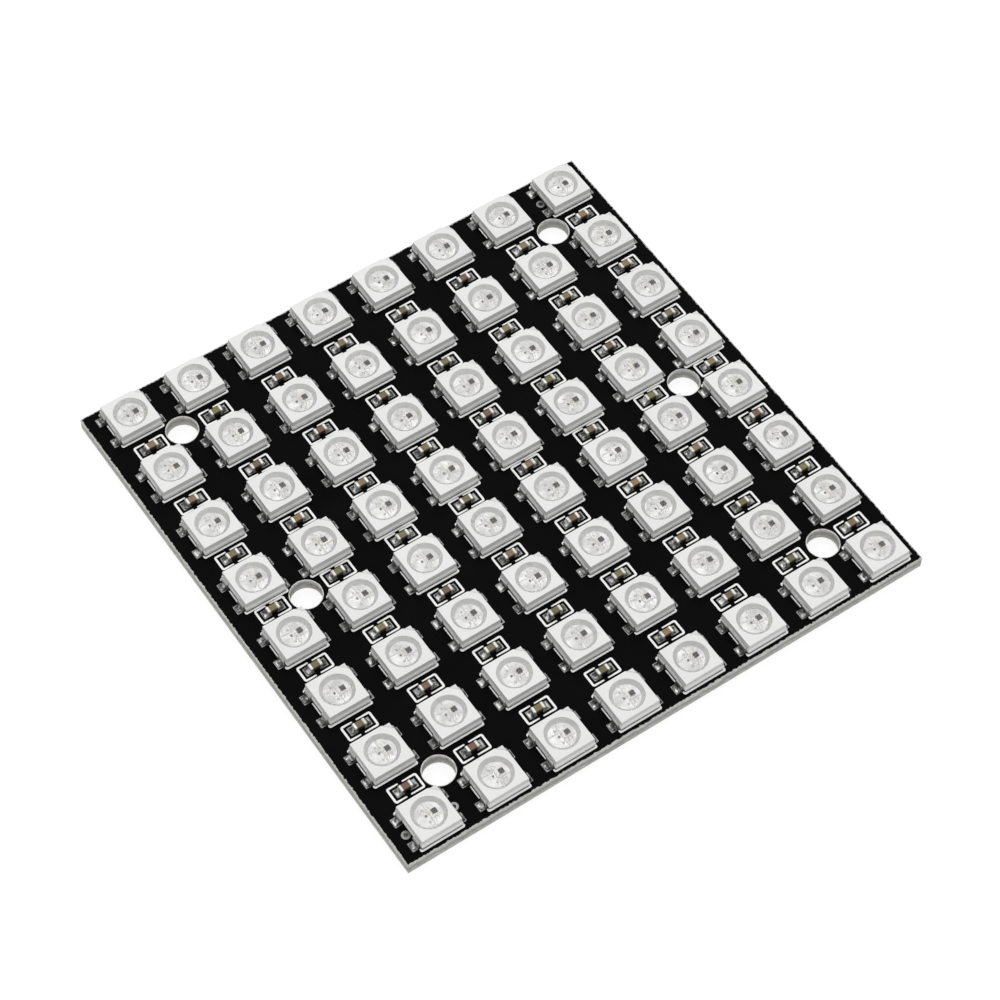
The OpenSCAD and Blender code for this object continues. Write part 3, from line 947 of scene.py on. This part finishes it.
cap_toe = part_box("capacitor_lands")[1].x - column_x[-1] - cap_half
cap_joint_wide = 0.95 * mm
cap_climb = 0.45 * mm
joints = []
for x, y, _ in cap_places:
    for sign in (-1, 1):
        shape = wetted_joint(dice, cap_toe - bare_end, cap_joint_wide, cap_climb)
        joints.append(on_side(shape, sign, x + sign * cap_half, y))
points, faces = join_shapes(joints)
cap_joints = make_piece("end_cap_joints", points, faces, solder_joint)
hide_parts("capacitor_solder")


# Floor and light: the board lies on a white sheet in a white tent that is brighter
# overhead, with a soft lamp above the far side. None of it is part of the object.
sheet_half = 2.5
floor_mesh = bpy.data.meshes.new("floor")
floor_mesh.from_pydata(
    [
        (-sheet_half, -sheet_half, -0.02 * mm),
        (sheet_half, -sheet_half, -0.02 * mm),
        (sheet_half, sheet_half, -0.02 * mm),
        (-sheet_half, sheet_half, -0.02 * mm),
    ],
    [],
    [(0, 1, 2, 3)],
)
floor = bpy.data.objects.new("floor", floor_mesh)
bpy.context.collection.objects.link(floor)
white_sheet = bpy.data.materials.new("white sheet")
white_sheet.use_nodes = True
tree = white_sheet.node_tree
tree.nodes.remove(tree.nodes["Principled BSDF"])
paper = put(tree, "ShaderNodeBsdfDiffuse")
glow = put(tree, "ShaderNodeEmission", {"Color": (1.0, 1.0, 1.0, 1.0)})
seen = put(tree, "ShaderNodeLightPath")
direct = reckon(
    tree,
    "MAXIMUM",
    seen.outputs["Is Camera Ray"],
    reckon(
        tree,
        "MAXIMUM",
        seen.outputs["Is Glossy Ray"],
        seen.outputs["Is Transmission Ray"],
    ),
)
shown = put(tree, "ShaderNodeMix", data_type="RGBA")
shown.inputs["A"].default_value = (0.8, 0.8, 0.8, 1.0)
shown.inputs["B"].default_value = (0.22, 0.22, 0.22, 1.0)
tree.links.new(direct, shown.inputs["Factor"])
tree.links.new(shown.outputs["Result"], paper.inputs["Color"])
tree.links.new(reckon(tree, "MULTIPLY", direct, 0.82), glow.inputs["Strength"])
both = put(tree, "ShaderNodeAddShader")
tree.links.new(paper.outputs["BSDF"], both.inputs[0])
tree.links.new(glow.outputs["Emission"], both.inputs[1])
from_below = put(tree, "ShaderNodeNewGeometry")
clear = put(tree, "ShaderNodeBsdfTransparent")
one_sided = put(tree, "ShaderNodeMixShader")
tree.links.new(from_below.outputs["Backfacing"], one_sided.inputs["Fac"])
tree.links.new(both.outputs["Shader"], one_sided.inputs[1])
tree.links.new(clear.outputs["BSDF"], one_sided.inputs[2])
tree.links.new(one_sided.outputs["Shader"], tree.nodes["Material Output"].inputs["Surface"])
floor_mesh.materials.append(white_sheet)

tent = bpy.data.worlds.new("white tent")
bpy.context.scene.world = tent
tent.use_nodes = True
tree = tent.node_tree
bearing = put(tree, "ShaderNodeTexCoord")
rise = put(tree, "ShaderNodeSeparateXYZ")
tree.links.new(bearing.outputs["Generated"], rise.inputs["Vector"])
tree.links.new(
    spread(tree, rise.outputs["Z"], 0.42, 0.8, 0.44, 1.3),
    tree.nodes["Background"].inputs["Strength"],
)
tree.nodes["Background"].inputs["Color"].default_value = (1.0, 1.0, 1.0, 1.0)


def soft_lamp(name, place, aim, size, power):
    """A square lamp of that size in metres at a place, turned to face its aim."""
    lamp = bpy.data.lights.new(name, "AREA")
    lamp.shape = "SQUARE"
    lamp.size = size
    lamp.energy = power
    holder = bpy.data.objects.new(name, lamp)
    bpy.context.collection.objects.link(holder)
    away = np.array(place) - np.array(aim)
    away = away / np.linalg.norm(away)
    across = np.cross((0.0, 0.0, 1.0), away)
    across = across / np.linalg.norm(across)
    upward = np.cross(away, across)
    turned = np.identity(4)
    turned[:3, 0], turned[:3, 1], turned[:3, 2] = across, upward, away
    turned[:3, 3] = place
    holder.matrix_world = Matrix(turned.tolist())


soft_lamp("far side lamp", (0.35, 0.5, 0.85), (0.0, 0.0, 0.0), 0.5, 0.9)

bpy.context.scene.view_settings.view_transform = "Standard"


# Camera: above the near left corner of the board, looking down over it.
eye = bpy.data.cameras.new("camera")
eye.sensor_width = 36.0
eye.lens = 115.5
eye.clip_start = 0.01
camera = bpy.data.objects.new("camera", eye)
bpy.context.collection.objects.link(camera)
seat = np.identity(4)
seat[:3, 0] = (0.82806, -0.56061, 0.00553)
seat[:3, 1] = (0.46652, 0.69448, 0.54778)
seat[:3, 2] = (-0.31093, -0.45101, 0.83661)
seat[:3, 3] = (-0.10718, -0.15631, 0.28868)
camera.matrix_world = Matrix(seat.tolist())
bpy.context.scene.camera = camera
